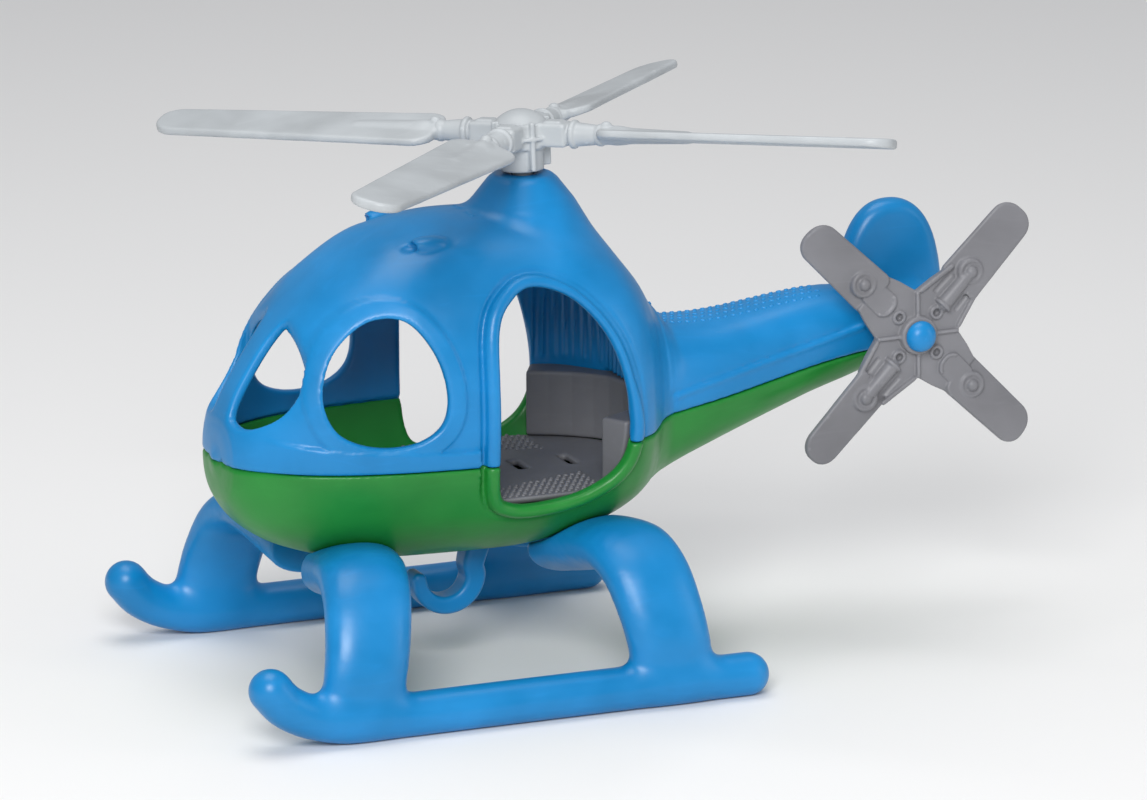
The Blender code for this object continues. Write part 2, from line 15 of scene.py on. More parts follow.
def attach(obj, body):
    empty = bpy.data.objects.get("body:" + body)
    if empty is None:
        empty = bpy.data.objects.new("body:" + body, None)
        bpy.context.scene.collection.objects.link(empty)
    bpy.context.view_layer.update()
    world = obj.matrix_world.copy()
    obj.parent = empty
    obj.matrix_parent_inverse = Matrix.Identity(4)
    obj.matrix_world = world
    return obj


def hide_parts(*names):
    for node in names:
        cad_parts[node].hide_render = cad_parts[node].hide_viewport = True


MM = 0.001
FAR = 40.0                  # a distance no field needs to look beyond
QUARTERS = ((1, 0), (0, 1), (-1, 0), (0, -1))    # cosine and sine of each quarter turn
OVAL = 2.3                  # how square the ovals of the fin and legs are; 2 is an ellipse

# Hull, as in the frame: top, bottom, half width and widest height by station along X.
HULL_TOP = [(-121, 74), (-119, 84), (-112, 98), (-101, 113), (-86, 127), (-68, 136.5),
            (-46, 139.5), (-22, 138), (-4, 131), (8, 119), (16, 107), (22, 100.5), (32, 100),
            (77, 104.5), (102, 104.5), (110, 101), (115, 95)]
HULL_BOTTOM = [(-121, 68), (-119, 59), (-112, 50), (-101, 44), (-86, 40), (-63, 38), (-36, 37.7),
               (-18, 39.5), (-4, 43.5), (8, 49), (18, 54.5), (28, 59), (86, 79.5), (102, 85),
               (110, 88), (115, 92)]
HULL_HALF = [(-121, 3), (-119, 13.5), (-112, 23), (-101, 31), (-86, 37), (-68, 40.5),
             (-46, 42.3), (-22, 42.6), (-8, 41.6), (0, 39.4), (5, 36), (9, 31), (13, 25.3),
             (18, 21.8), (34, 19.3), (76, 13), (98, 11), (108, 8), (115, 2)]
HULL_BELT = [(-121, 71), (-100, 80), (-60, 86), (0, 84), (20, 79), (86, 91), (115, 93.5)]
SEAM = [(-140, 70), (-100, 72), (-48, 71.7), (-5.4, 74.2), (3, 74.3), (14, 75.7), (32, 78.3),
        (75, 85.5), (130, 91)]
HULL_ENDS = (-121, 115)
ROUNDNESS = 2.45
WALL = 2.4
SEAM_GAP = 0.3

# Openings, as (x, z) seen from the side, and (y, z) seen from the front.
DOOR = [(-45.1, 110.7), (-39.3, 119.9), (-31.4, 122.4), (-20.2, 117.8), (-10.8, 106.5),
        (-5.5, 91.3), (-4.3, 76.2), (-8.3, 66.6), (-18.4, 60.6), (-30.5, 58.2), (-40.6, 58.8),
        (-45.2, 64.3), (-45.8, 86.4)]
SIDE_WINDOW = [(-62, 94.6), (-65.2, 106.7), (-72.6, 116), (-83, 115.8), (-93.1, 107.3),
               (-97.4, 95.2), (-94.1, 84.9), (-84.3, 80.2), (-72, 80.5), (-63.9, 85.5)]
WINDSHIELD = [(6, 88), (6, 108), (10.5, 113), (21, 109), (26, 99.5), (24.5, 89.5), (17, 84),
              (9.5, 84)]
WINDSHIELD_BACK = -100
REAR_WALL_X = 15.7
FLOOR_TOP = 59.5
FLOOR_HALF = 1.1                # half the floor's thickness
FLOOR_FRONT = -104
CABIN_PLAY = 0.4                # gap between the cabin's inserts and the shell
FLOOR_SLOTS = ((-25, -22), (-8.7, -6))
SLOT_SIDES = (-4.2, 6.5)
BULKHEAD_TOP = 80
BULKHEAD_FACE = [(-9.2, -30), (-3, -27), (3, -23), (8, -18.3), (11.3, -13.8), (13, -7),
                 (13.3, 0), (13, 7), (11.3, 13.8), (8, 18.3), (3, 23), (-3, 27), (-9.2, 30)]

# Mouldings on the shells.
BEAD_SINK = 0.3
GROOVE_INSET = 5.4              # from the door's edge
RIB_PITCH = 3.1
ROOF_RIB = 0.8                  # rib depths
WALL_RIB = 0.7
RIM_HEIGHT = 0.85               # how far the side's mouldings stand out
BAND_HEIGHT = 1.25
BOOM_LOWER_HEIGHT = 0.55
BOOM_PANEL_HEIGHT = 0.4
SEAM_TONGUE = 1.6
SCOOP_X = -59.5
SCOOP_MOUTH_X = -65.6
SCOOP_Y = 19
LOUVRE_X = -41
LOUVRE_PITCH = 2.6
LEDGE = [(-117.8, 82.8), (-98.7, 80), (-76.1, 78.2), (-57.9, 77.4), (-48.8, 77.6)]
BOOM_RIDGE = [(18.5, 81.6), (33.5, 84.5), (51, 87.9), (68.5, 91.3), (83, 94.3)]
PYLON_X = -22
PYLON_TOP = 149
PYLON_PROFILE = [(0, 149), (8.6, 149), (10.4, 147.6), (15.5, 141), (20, 133.5), (25, 125),
                 (31, 113), (36, 101), (38, 92), (0, 92)]
FIN_CENTRE = (97, 101)
FIN_HALF = (16.6, 29.3)
FIN_THICKNESS = 9

# Landing gear and hook.
SKID_Y = 63
SKID_RADIUS = 6.5
SKID_Z = 6.2
SKID_PATH = [(-126.5, 18.2), (-122, 13.2), (-115, 9.3), (-106, 7), (-96, SKID_Z), (-60, SKID_Z),
             (-20, SKID_Z), (24, SKID_Z)]
LEG_ROUTE = [(14, 38), (25, 40.5), (34, 42.5), (44, 43), (53, 38.5), (59, 30), (62.5, 20),
             (63, 8)]
LEGS = ((-84, -99), (-12, 0))
LEG_HALF_WIDTH = (14.5, 12.5)
LEG_INNER_END = 12.6            # where the legs stop under the belly, out from the middle
BELLY_GAP = 0.5                 # from the legs to the hull
LEG_HALF_DEPTH = (8.5, 5.8)
HOOK_RADIUS = 9
HOOK_X = -48
HOOK_Z = 28.4

# Rotors.
ROTOR_LEAN_FORWARD = math.radians(0.8)
ROTOR_LEAN_STARBOARD = math.radians(3.2)
ROTOR_AZIMUTH = math.radians(-43.5)
ARM_Z = 12
BLADE_TIP = 117
BLADE_ROOT = 26
BLADE_CHORD = (21, 15.5)
BLADE_PITCH = math.radians(-13)
TAIL_PLACE = (96.6, -21.5, 93)
TAIL_AZIMUTH = math.radians(46)
TAIL_TIP = 49.5
TAIL_BLADE_WIDTH = 14.2
TAIL_PITCH = math.radians(-12)
TAIL_BOSS_OUT = 24.9
CAP_PROFILE = [(0, 19.2), (1.6, 19.1), (3.2, 18.7), (5, 17.9), (6.5, 16.9), (7.4, 16.0),
               (7.6, 15.5), (7.0, 15.2), (0, 15.2)]
PIN_PROFILE = [(0, 7.2), (1.4, 7.1), (2.8, 6.6), (3.9, 5.7), (4.5, 4.7), (4.7, 3.9), (4.5, 3.5),
               (2.2, 3.5), (2.1, 0), (2.1, -14.2), (3.2, -14.7), (2.2, -16.2), (0, -16.2)]

# Plastics, as (base colour, roughness).
BLUE = ((0.001, 0.205, 0.5), 0.34)
GREEN = ((0.008, 0.21, 0.024), 0.36)
LIGHT_GREY = ((0.42, 0.445, 0.46), 0.42)
MID_GREY = ((0.19, 0.19, 0.205), 0.42)
FLOOR_GREY = ((0.15, 0.152, 0.165), 0.5)

# Studio: lights as (name, place in m, size in m, watts), and the camera fitted to the photo.
LIGHTS = (("key", (-0.75, -1.35, 1.0), (0.7, 0.7), 24),
          ("top", (-0.1, 0.1, 1.5), (1.0, 1.0), 10),
          ("side", (1.3, -0.9, 0.5), (0.5, 0.9), 2.5))
LIT_POINT = (0, 0, 0.08)
SKY_COLOUR = (0.93, 0.95, 1, 1)
SKY_STRENGTH = 0.34
STUDIO_FLOOR_COLOUR = (0.86, 0.855, 0.845, 1)
STUDIO_FLOOR_HALF = 9000
CAMERA_SENSOR = 36
CAMERA_LENS = 262.888
CAMERA_POSE = ((0.925376, 0.098879, -0.365927, -0.92248),
               (-0.379032, 0.231659, -0.895918, -2.24399),
               (-0.003817, 0.967759, 0.25185, 0.70853),
               (0, 0, 0, 1))

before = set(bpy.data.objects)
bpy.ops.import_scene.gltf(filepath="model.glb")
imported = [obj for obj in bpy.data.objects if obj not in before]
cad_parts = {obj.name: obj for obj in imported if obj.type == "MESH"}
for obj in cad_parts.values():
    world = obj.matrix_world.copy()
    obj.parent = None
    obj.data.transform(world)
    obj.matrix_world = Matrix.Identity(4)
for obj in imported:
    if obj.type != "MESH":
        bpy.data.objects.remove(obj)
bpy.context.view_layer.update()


# ---------------------------------------------------------------- curves and fields

def curve(points):
    """Monotone cubic interpolation through (x, value) points, for arrays."""
    xs, ys = np.array(points, float).T
    steps = np.diff(ys) / np.diff(xs)
    inner = [0 if a * b <= 0 else 2 * a * b / (a + b) for a, b in zip(steps, steps[1:])]
    slopes = np.array([steps[0], *inner, steps[-1]])

    def value(x):
        x = np.clip(np.asarray(x, float), xs[0], xs[-1])
        i = np.clip(np.searchsorted(xs, x) - 1, 0, len(xs) - 2)
        h = xs[i + 1] - xs[i]
        t = (x - xs[i]) / h
        return (ys[i] * (1 + 2 * t) * (1 - t) ** 2 + slopes[i] * h * t * (1 - t) ** 2
                + ys[i + 1] * t * t * (3 - 2 * t) + slopes[i + 1] * h * t * t * (t - 1))

    return value


TOP, BOTTOM, HALF, BELT = curve(HULL_TOP), curve(HULL_BOTTOM), curve(HULL_HALF), curve(HULL_BELT)
SEAM_Z, LEDGE_Z = curve(SEAM), curve(LEDGE)


def spline(points, per_side=8, closed=True):
    """Catmull-Rom curve through points of any dimension."""
    p = np.array(points, float)
    count = len(p)
    if closed:
        a, b, c, d = (np.roll(p, -k, 0) for k in (-1, 0, 1, 2))
    else:
        ends = np.vstack([2 * p[0] - p[1], p, 2 * p[-1] - p[-2]])
        a, b, c, d = (ends[k:count - 1 + k] for k in range(4))
    t = np.linspace(0, 1, per_side, endpoint=False)[None, :, None]
    a, b, c, d = (v[:, None, :] for v in (a, b, c, d))
    out = 0.5 * (2 * b + (c - a) * t + (2 * a - 5 * b + 4 * c - d) * t ** 2
                 + (3 * b - a - 3 * c + d) * t ** 3)
    out = out.reshape(-1, p.shape[1])
    return out if closed else np.vstack([out, p[-1]])


def smoothstep(value, low, high):
    t = np.clip((value - low) / (high - low), 0, 1)
    return t * t * (3 - 2 * t)


def soft_min(a, b, k):
    if k <= 0:
        return np.minimum(a, b)
    h = np.maximum(k - np.abs(a - b), 0) / k
    return np.minimum(a, b) - h * h * k / 4


def soft_max(a, b, k):
    return -soft_min(-a, -b, k)


def outline_distance(loop, u, v):
    """Signed distance in a plane to a closed outline, negative inside.

    u and v are arrays that broadcast together.
    """
    u, v = np.broadcast_arrays(np.asarray(u, float), np.asarray(v, float))
    best = np.full(u.shape, 1e9)
    inside = np.zeros(u.shape, bool)
    for (ax, ay), (bx, by) in zip(loop, np.roll(loop, -1, 0)):
        ex, ey = bx - ax, by - ay
        t = np.clip(((u - ax) * ex + (v - ay) * ey) / max(ex * ex + ey * ey, 1e-12), 0, 1)
        best = np.minimum(best, (u - ax - t * ex) ** 2 + (v - ay - t * ey) ** 2)
        if ey:
            crosses = ((ay > v) != (by > v)) & (u < (v - ay) * ex / ey + ax)
            inside ^= crosses
    return np.where(inside, -1, 1) * np.sqrt(best)


def extruded(flat, height, half, rounding):
    """A plane field made into a slab of half thickness, with rounded edges."""
    a, b = flat + rounding, np.abs(height) - (half - rounding)
    return np.minimum(np.maximum(a, b), 0) + np.hypot(np.maximum(a, 0), np.maximum(b, 0)) - rounding


def box_field(x, y, z, low, high, rounding=0.0):
    q = [np.abs(v - (a + b) / 2) - ((b - a) / 2 - rounding)
         for v, a, b in zip((x, y, z), low, high)]
    outside = np.sqrt(sum(np.maximum(v, 0) ** 2 for v in q))
    return outside + np.minimum(np.maximum(np.maximum(q[0], q[1]), q[2]), 0) - rounding


def ellipsoid(x, y, z, centre, radii):
    a = [(v - c) / r for v, c, r in zip((x, y, z), centre, radii)]
    near = np.sqrt(sum(v * v for v in a))
    slope = np.sqrt(sum((v / r) ** 2 for v, r in zip(a, radii)))
    return near * (near - 1) / np.maximum(slope, 1e-6)


def capsule(x, y, z, a, b, r_a, r_b=None):
    """A straight rod with round ends, from point a to point b."""
    a, b = np.array(a, float), np.array(b, float)
    e = b - a
    t = np.clip(((x - a[0]) * e[0] + (y - a[1]) * e[1] + (z - a[2]) * e[2]) / (e @ e), 0, 1)
    r = r_a + ((r_a if r_b is None else r_b) - r_a) * t
    return np.sqrt((x - a[0] - t * e[0]) ** 2 + (y - a[1] - t * e[1]) ** 2
                   + (z - a[2] - t * e[2]) ** 2) - r


def rod(along, across, low, high, r_low, r_high=None, rounding=0.3):
    """A cylinder or cone between two places along an axis.

    across is the distance from that axis.
    """
    share = np.clip((along - low) / (high - low), 0, 1)
    r = r_low + ((r_low if r_high is None else r_high) - r_low) * share
    return extruded(across - r, along - (low + high) / 2, (high - low) / 2, rounding)


class Grid:
    """Evenly spaced sample points, as arrays that broadcast together."""

    CHUNK = 20000           # points handled at a time, to keep memory low

    def __init__(self, low, high, step):
        self.low = np.array(low, float)
        self.step = step
        self.counts = [int(math.ceil((b - a) / step)) + 1 for a, b in zip(low, high)]
        axes = [a + step * np.arange(n) for a, n in zip(low, self.counts)]
        self.x = axes[0][:, None, None]
        self.y = axes[1][None, :, None]
        self.z = axes[2][None, None, :]

    def near_points(self, points, radii, mask):
        """Distance to a chain of balls of the given radii, at the grid points in the mask."""
        out = np.full(self.counts, FAR, np.float32)
        picked = np.argwhere(mask)
        where = self.low + picked * self.step
        points, radii = np.asarray(points, float), np.broadcast_to(radii, len(points))
        found = np.empty(len(picked), np.float32)
        for start in range(0, len(picked), self.CHUNK):
            block = where[start:start + self.CHUNK]
            square = ((block ** 2).sum(1)[:, None] + (points ** 2).sum(1)[None]
                      - 2 * block @ points.T)
            found[start:start + self.CHUNK] = (np.sqrt(np.maximum(square, 0)) - radii).min(1)
        out[tuple(picked.T)] = found
        return out


def true_distance(field, step):
    """Scales a field that is zero on a surface so that it reads as a distance near it."""
    slopes = np.gradient(field.astype(np.float32), step)
    size = np.sqrt(sum(s * s for s in slopes))
    return np.clip(field / np.maximum(size, 0.004), -FAR, FAR).astype(np.float32)


# ---------------------------------------------------------------- fields to meshes

def sample(field, grid, points):
    """Trilinear reading of a field at points."""
    p = (points - grid.low) / grid.step
    top = np.array(field.shape) - 2
    i = np.clip(np.floor(p).astype(int), 0, top)
    f = np.clip(p - i, 0, 1)
    total = 0
    for corner in range(8):
        o = np.array([corner & 1, corner >> 1 & 1, corner >> 2 & 1])
        w = np.prod(np.where(o, f, 1 - f), axis=1)
        j = i + o
        total = total + w * field[j[:, 0], j[:, 1], j[:, 2]]
    return total


def surface_net(field, grid):
    """Vertices (mm) and quads of the zero surface of a field."""
    field = field.astype(np.float32)
    inside = field < 0
    total = np.zeros([n - 1 for n in field.shape], np.int8)
    for corner in range(8):
        o = (corner & 1, corner >> 1 & 1, corner >> 2 & 1)
        total += inside[tuple(slice(k, n - 1 + k) for k, n in zip(o, field.shape))]
    mixed = (total > 0) & (total < 8)
    cells = np.argwhere(mixed)
    index = np.full(mixed.shape, -1, np.int32)
    index[mixed] = np.arange(len(cells))
    place = np.zeros((len(cells), 3))
    count = np.zeros(len(cells))
    for axis in range(3):
        unit = np.eye(3, dtype=int)[axis]
        b, c = [k for k in range(3) if k != axis]
        for corner in range(4):
            o = np.zeros(3, int)
            o[b], o[c] = corner & 1, corner >> 1
            i0 = cells + o
            i1 = i0 + unit
            d0, d1 = field[tuple(i0.T)], field[tuple(i1.T)]
            crossed = (d0 < 0) != (d1 < 0)
            t = d0[crossed] / (d0[crossed] - d1[crossed])
            place[crossed] += i0[crossed] + t[:, None] * unit
            count[crossed] += 1
    verts = grid.low + grid.step * place / count[:, None]
    quads = []
    for axis in range(3):
        b, c = [k for k in range(3) if k != axis]
        low = [slice(None)] * 3
        high = [slice(None)] * 3
        low[axis], high[axis] = slice(0, -1), slice(1, None)
        for k in (b, c):
            low[k] = high[k] = slice(1, -1)
        starts, ends = inside[tuple(low)], inside[tuple(high)]
        at = np.argwhere(starts != ends)
        outward = starts[tuple(at.T)]
        at[:, b] += 1
        at[:, c] += 1
        corners = []
        for ob, oc in ((-1, -1), (0, -1), (0, 0), (-1, 0)):
            j = at.copy()
            j[:, b] += ob
            j[:, c] += oc
            corners.append(index[tuple(j.T)])
        quad = np.stack(corners, 1)
        flip = outward if axis != 1 else ~outward
        quad[~flip] = quad[~flip][:, ::-1]
        quads.append(quad)
    return verts, np.vstack(quads)


def relax(verts, quads, rounds, amount=0.5):
    """Evens out a mesh by moving each vertex towards its neighbours."""
    a = quads.ravel()
    b = np.roll(quads, -1, 1).ravel()
    count = np.bincount(a, minlength=len(verts)) + np.bincount(b, minlength=len(verts))
    for _ in range(rounds):
        mean = np.stack([np.bincount(a, verts[b, k], len(verts))
                         + np.bincount(b, verts[a, k], len(verts))
                         for k in range(3)], 1) / count[:, None]
        verts = verts + (mean - verts) * amount
    return verts


def settle(verts, field, grid, rounds=2):
    """Moves vertices onto the zero surface of the field."""
    h = grid.step * 0.6
    for _ in range(rounds):
        value = sample(field, grid, verts)
        slope = np.stack([(sample(field, grid, verts + h * e)
                           - sample(field, grid, verts - h * e)) / (2 * h)
                          for e in np.eye(3)], 1)
        size = np.maximum((slope ** 2).sum(1), 0.2)
        move = slope * (value / size)[:, None]
        length = np.linalg.norm(move, axis=1)
        move *= np.minimum(1, 0.4 * grid.step / np.maximum(length, 1e-9))[:, None]
        verts = verts - move
    return verts


def mesh_object(name, verts, faces, matrix=None):
    mesh = bpy.data.meshes.new(name)
    mesh.from_pydata((np.asarray(verts) * MM).tolist(), [], [list(map(int, f)) for f in faces])
    mesh.update()
    if matrix is not None:
        mesh.transform(matrix)
    mesh.polygons.foreach_set("use_smooth", np.ones(len(mesh.polygons), bool))
    obj = bpy.data.objects.new(name, mesh)
    bpy.context.scene.collection.objects.link(obj)
    return obj


def moulded(name, field, grid, matrix=None, rounds=2):
    """A piece from a field: its surface net, evened out and settled on the surface."""
    field = np.broadcast_to(field, grid.counts).astype(np.float32)
    verts, quads = surface_net(field, grid)
    verts = settle(relax(verts, quads, rounds), field, grid)
    verts = settle(relax(verts, quads, 1, 0.3), field, grid, 1)
    return mesh_object(name, verts, quads, matrix)


def turned(name, profile, matrix=None, segments=96):
    """A piece turned about Z from (radius, height) points, from the top down the outside."""
    profile = spline(profile, 6, closed=False) if len(profile) > 3 else np.array(profile, float)
    angle = np.linspace(0, 2 * math.pi, segments, endpoint=False)
    verts = np.array([(r * math.cos(a), r * math.sin(a), z) for r, z in profile for a in angle])
    faces = [[i * segments + k, (i + 1) * segments + k,
              (i + 1) * segments + (k + 1) % segments, i * segments + (k + 1) % segments]
             for i in range(len(profile) - 1) for k in range(segments)]
    return mesh_object(name, verts, faces, matrix)


# ---------------------------------------------------------------- hull and shells

def hull_field(grid, inset=0.0):
    """Distance to the hull's surface, moved in by the inset."""
    first, last = HULL_ENDS[0] + inset, HULL_ENDS[1] - inset
    scale = (last - first) / (HULL_ENDS[1] - HULL_ENDS[0])
    station = HULL_ENDS[0] + (grid.x - first) / scale
    belt = BELT(station)
    rise = np.maximum(TOP(station) - inset - belt, 0.8)
    fall = np.maximum(belt - BOTTOM(station) - inset, 0.8)
    half = np.maximum(HALF(station) - inset, 0.8)
    above = grid.z - belt
    share = np.abs(above) / np.where(above > 0, rise, fall)
    round_field = ((np.abs(grid.y) / half) ** ROUNDNESS + share ** ROUNDNESS) ** (1 / ROUNDNESS) - 1
    distance = true_distance(round_field, grid.step)
    return soft_max(soft_max(distance, first - grid.x, 2.5), grid.x - last, 2.5)


def hull_side(x, z):
    """Half width of the hull at a station and height."""
    above = z - BELT(x)
    share = np.abs(above) / np.where(above > 0, TOP(x) - BELT(x), BELT(x) - BOTTOM(x))
    return HALF(x) * np.maximum(1 - share ** ROUNDNESS, 0) ** (1 / ROUNDNESS)


def hull_roof(x, y):
    """Height of the hull's roof at a station and a distance from the middle."""
    share = np.maximum(1 - np.abs(y / HALF(x)) ** ROUNDNESS, 0) ** (1 / ROUNDNESS)
    return BELT(x) + (TOP(x) - BELT(x)) * share


def on_side(points, sign):
    """(x, z) points put on the port (-1) or starboard (1) surface of the hull."""
    p = np.asarray(points, float)
    return np.stack([p[:, 0], sign * hull_side(p[:, 0], p[:, 1]), p[:, 1]], 1)


def surface_normal(points):
    """Outward unit normals of the hull's side at points on it."""
    x, y, z = points.T
    sign = np.sign(y)
    h = 0.5
    slope_x = (hull_side(x + h, z) - hull_side(x - h, z)) / (2 * h)
    slope_z = (hull_side(x, z + h) - hull_side(x, z - h)) / (2 * h)
    n = np.stack([-slope_x, sign, -slope_z], 1)
    return n / np.linalg.norm(n, axis=1)[:, None]


def beside(outline, sign, distance, sink):
    """A chain on the hull's side, outside a closed outline by a distance along the surface."""
    on = on_side(outline, sign)
    along = np.roll(on, -1, 0) - np.roll(on, 1, 0)
    along /= np.linalg.norm(along, axis=1)[:, None]
    normal = surface_normal(on)
    out = np.cross(normal, along)
    middle = on.mean(0)
    out *= np.sign(((on - middle) * out).sum(1).mean())
    moved = on + out * np.reshape(distance, (-1, 1))
    moved = on_side(moved[:, [0, 2]], sign)
    return moved - surface_normal(moved) * sink


def around(outline):
    """How far forward and up each point of an outline lies from its middle, from -1 to 1."""
    d = outline - outline.mean(0)
    d = d / np.linalg.norm(d, axis=1)[:, None]
    return -d[:, 0], d[:, 1]


def pylon_field(grid, shrink=0.0):
    """The rotor pylon, a flared body of revolution."""
    radii = np.arange(0, 130, 0.25)
    table = outline_distance(np.array(PYLON_PROFILE, float), radii[:, None], grid.z[0]) + shrink
    r = np.hypot(grid.x - PYLON_X, grid.y)[:, :, 0] / 0.25
    i = np.minimum(r.astype(int), len(radii) - 2)
    t = (r - i)[:, :, None]
    return (table[i] * (1 - t) + table[i + 1] * t).astype(np.float32)


def fin_field(grid):
    u, v = (grid.x - FIN_CENTRE[0]) / FIN_HALF[0], (grid.z - FIN_CENTRE[1]) / FIN_HALF[1]
    near = (np.abs(u) ** OVAL + np.abs(v) ** OVAL) ** (1 / OVAL)
    slope = np.hypot(u / FIN_HALF[0], v / FIN_HALF[1]) / np.maximum(near, 1e-6)
    flat = (near - 1) / np.maximum(slope, 0.01)
    egg = extruded(flat, grid.y, FIN_THICKNESS / 2, 3.9)
    return np.maximum(egg, 92 - grid.z)


def side_relief(grid, window):
    """How far the side stands out from the plain hull: window rims, sill band, boom panel."""
    x, z = grid.x, grid.z
    clear_of_nose = smoothstep(x, -116, -98)
    rim = RIM_HEIGHT * (1 - smoothstep(window, 5.0, 5.9)) * clear_of_nose
    below = 1 - smoothstep(z - LEDGE_Z(x), -0.5, 0.5)
    fade = smoothstep(z, 58, 73) * (1 - smoothstep(x, -51, -49.5))
    band = BAND_HEIGHT * below * fade * clear_of_nose
    ridge = np.interp(x, *np.array(BOOM_RIDGE).T)
    lower = (BOOM_LOWER_HEIGHT * (1 - smoothstep(z - ridge, -0.5, 0.6))
             * smoothstep(x, 17.5, 19) * smoothstep(z, 74, 79))
    panel = (BOOM_PANEL_HEIGHT * smoothstep(x, 15.6, 16.8) * (1 - smoothstep(x, 76, 82))
             * smoothstep(z - ridge, 1.2, 2.2))
    return np.maximum(np.maximum(rim, band), np.maximum(lower, panel))


def body_field(grid):
    """Both shells together, hollow and with their openings."""
    x, y, z = grid.x, grid.y, grid.z
    door_line, window_line = spline(DOOR, 36), spline(SIDE_WINDOW, 8)
    door = outline_distance(door_line, x, z)
    window = outline_distance(window_line, x, z)
    plain = hull_field(grid)
    outer = plain - side_relief(grid, window)

    panes = np.minimum(outline_distance(spline(WINDSHIELD, 6), y, z),
                       outline_distance(spline([(-a, b) for a, b in WINDSHIELD], 6), y, z))
    panes = np.maximum(panes, x - WINDSHIELD_BACK)

    solid = soft_min(outer, pylon_field(grid), 3.0)
    solid = soft_min(solid, fin_field(grid), 3.0)
    tx, ty, tz = TAIL_PLACE
    boss = rod(-y, np.hypot(x - tx, z - tz), -ty - 14, -ty - 4.4, 6.6, 5.4, 0.8)
    solid = soft_min(solid, boss, 1.6)

    forward, up = around(door_line)
    bead_size = 1.5 + 0.9 * smoothstep(np.maximum(forward, -up), -0.35, 0.45)
    groove_size = 0.6 + 0.55 * smoothstep(forward - 0.4 * np.maximum(-up, 0), -0.2, 0.6)
    door_there = np.broadcast_to(door, plain.shape)
    close = (np.abs(plain) < 6) & (door_there < 10) & (door_there > -3)
    for sign in (-1, 1):
        half = close & (np.broadcast_to(y, plain.shape) * sign > 0)
        groove = grid.near_points(beside(door_line, sign, GROOVE_INSET, -0.25), groove_size, half)
        solid = soft_max(solid, -groove, 0.5)
        bead = grid.near_points(beside(door_line, sign, bead_size, BEAD_SINK), bead_size, half)
        solid = soft_min(solid, bead, 0.5)
        ridge_line = on_side(spline(BOOM_RIDGE, 40, closed=False), sign)
        on_boom = np.broadcast_to((x > 15) & (x < 84), plain.shape)
        near_ridge = (np.abs(plain) < 4) & on_boom
        near_ridge &= np.broadcast_to(y, plain.shape) * sign > 0
        ridge = grid.near_points(ridge_line + surface_normal(ridge_line) * 0.1, 1.05, near_ridge)
        solid = soft_min(solid, ridge, 0.6)
        scoop_place = (SCOOP_X, sign * SCOOP_Y, hull_roof(SCOOP_X, SCOOP_Y))
        scoop = ellipsoid(x, y, z, scoop_place, (6.2, 3.6, 2.4))
        mouth_place = (SCOOP_MOUTH_X, sign * SCOOP_Y, hull_roof(SCOOP_MOUTH_X, SCOOP_Y) + 0.9)
        mouth = ellipsoid(x, y, z, mouth_place, (2.8, 2.5, 1.5))
        solid = soft_max(soft_min(solid, scoop, 1.2), -mouth, 0.5)
        for bar in range(3):
            bar_x = LOUVRE_X + LOUVRE_PITCH * bar
            a, b = ((bar_x, sign * s, float(hull_roof(bar_x, s)) + 0.05) for s in (2.0, 7.0))
            solid = soft_min(solid, capsule(x, y, z, a, b, 0.55), 0.4)

    hollow = np.minimum(hull_field(grid, WALL), pylon_field(grid, 2.6))
    round_back = np.arctan2(y, x + 10) * 35
    domed = np.maximum(np.cos(round_back * 2 * math.pi / RIB_PITCH), 0) ** 2
    domed = (ROOF_RIB * domed * smoothstep(x, -8, -6)
             * smoothstep(z, 81, 83) * (1 - smoothstep(z, 122, 126)))
    hollow = hollow + domed * (x < REAR_WALL_X)
    shell = np.maximum(solid, -hollow)
    wall_foot = BULKHEAD_TOP + SEAM_GAP
    wall = box_field(x, y, z, (REAR_WALL_X - 2, -60, wall_foot), (REAR_WALL_X, 60, 150))
    ribs = WALL_RIB * np.maximum(np.cos(y * 2 * math.pi / RIB_PITCH), 0) ** 2
    wall = np.maximum(wall - ribs * (x < REAR_WALL_X - 1), hollow - 1)
    wall = np.maximum(wall, wall_foot - z)
    shell = np.minimum(shell, wall)
    shell = np.maximum(shell, -rod(z, np.hypot(x - PYLON_X, y), 130, 160, 3.4))
    shell = np.maximum(shell, -rod(-y, np.hypot(x - tx, z - tz), 0, -ty + 4, 2.4))
    for opening in (door, window, panes):
        shell = soft_max(shell, -opening, 1.5)
    return shell, plain


def shells():
    grid = Grid((-125, -48, 33), (119, 48, 153), 0.7)
    body, plain = body_field(grid)
    tongue = SEAM_TONGUE * (1 - smoothstep(plain, -1.5, -1.1))
    seam = grid.z - SEAM_Z(grid.x) - tongue
    upper = moulded("upper_shell_moulded", soft_max(body, SEAM_GAP / 2 - seam, 0.7), grid)
    lower = moulded("lower_shell_moulded", soft_max(body, SEAM_GAP / 2 + seam, 0.7), grid)
    return upper, lower


def raised_dashes(name, places, length, width, height):
    """Small raised lozenges; each place is (point, normal, direction along)."""
    verts, faces = [], []
    ring = [(-1, 0), (-0.72, 0.62), (0.72, 0.62), (1, 0), (0.72, -0.62), (-0.72, -0.62)]
    for point, normal, along in places:
        normal = np.array(normal) / np.linalg.norm(normal)
        along = np.array(along) - normal * np.dot(along, normal)
        along /= np.linalg.norm(along)
        side = np.cross(normal, along)
        base = len(verts)
        for scale, lift in ((1, -0.3), (1, 0.15 * height), (0.8, 0.75 * height), (0.45, height)):
            for u, v in ring:
                verts.append(point + along * u * length / 2 * scale
                             + side * v * width * scale / 1.24 + normal * lift)
        for level in range(3):
            for k in range(6):
                a, b = base + level * 6 + k, base + level * 6 + (k + 1) % 6
                faces.append([b, a, a + 6, b + 6])
        faces.append([base + 18 + k for k in range(6)][::-1])
        faces.append([base + k for k in range(6)])
    return mesh_object(name, np.array(verts), faces)


